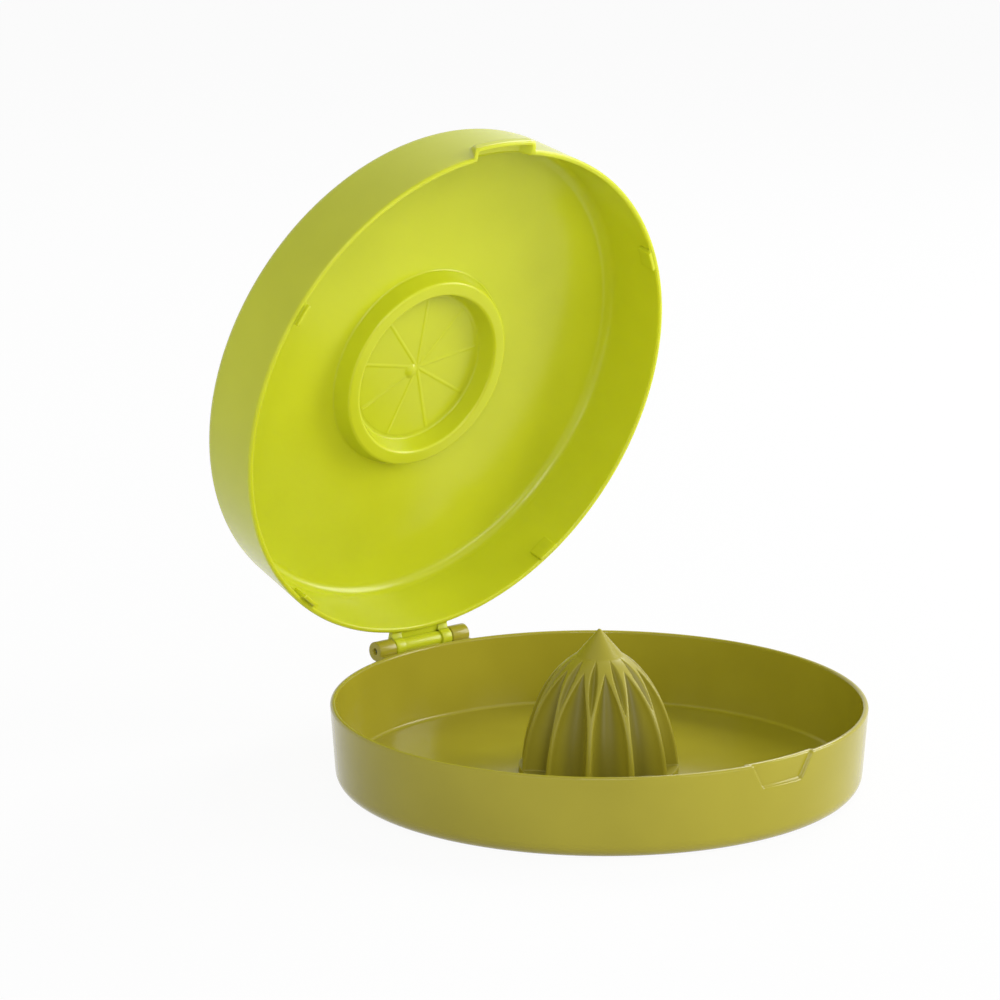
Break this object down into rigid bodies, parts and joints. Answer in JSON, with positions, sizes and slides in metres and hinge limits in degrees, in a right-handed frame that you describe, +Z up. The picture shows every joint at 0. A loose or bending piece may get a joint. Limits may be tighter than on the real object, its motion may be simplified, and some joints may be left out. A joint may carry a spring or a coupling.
{
  "type": "citrus juicer with glass rimmer",
  "caption": "Round hinged citrus juicer: a shallow juice tray with a fluted reamer, and a lid that swings open on a pinned hinge and serves as a dish for rimming glasses with salt or sugar.",
  "frame": {"origin": "centre of the tray's flat underside, on the reamer's axis", "axes": "+Z up along the reamer, -Y towards the finger lip and recess, +Y towards the hinge, X along the hinge pin"},
  "size_m": [0.17, 0.197, 0.1995],
  "materials": {
    "tray_plastic": "smooth glossy moulded plastic, olive lime",
    "reamer_plastic": "smooth glossy moulded plastic, olive lime",
    "lid_plastic": "smooth glossy moulded plastic, slightly translucent, bright lime",
    "pin_steel": "plain drawn steel wire"
  },
  "bodies": {
    "base": {"juice_tray": "tray_plastic", "reamer": "reamer_plastic", "hinge_pin": "pin_steel"},
    "lid": {"rimmer_lid": "lid_plastic"}
  },
  "joints": [
    {"name": "lid_hinge", "type": "hinge", "parent": "base", "child": "lid", "pos_m": [0, 0.0895, 0.02635], "axis": [-1, 0, 0], "range_deg": [-75.5, 104.5]}
  ]
}
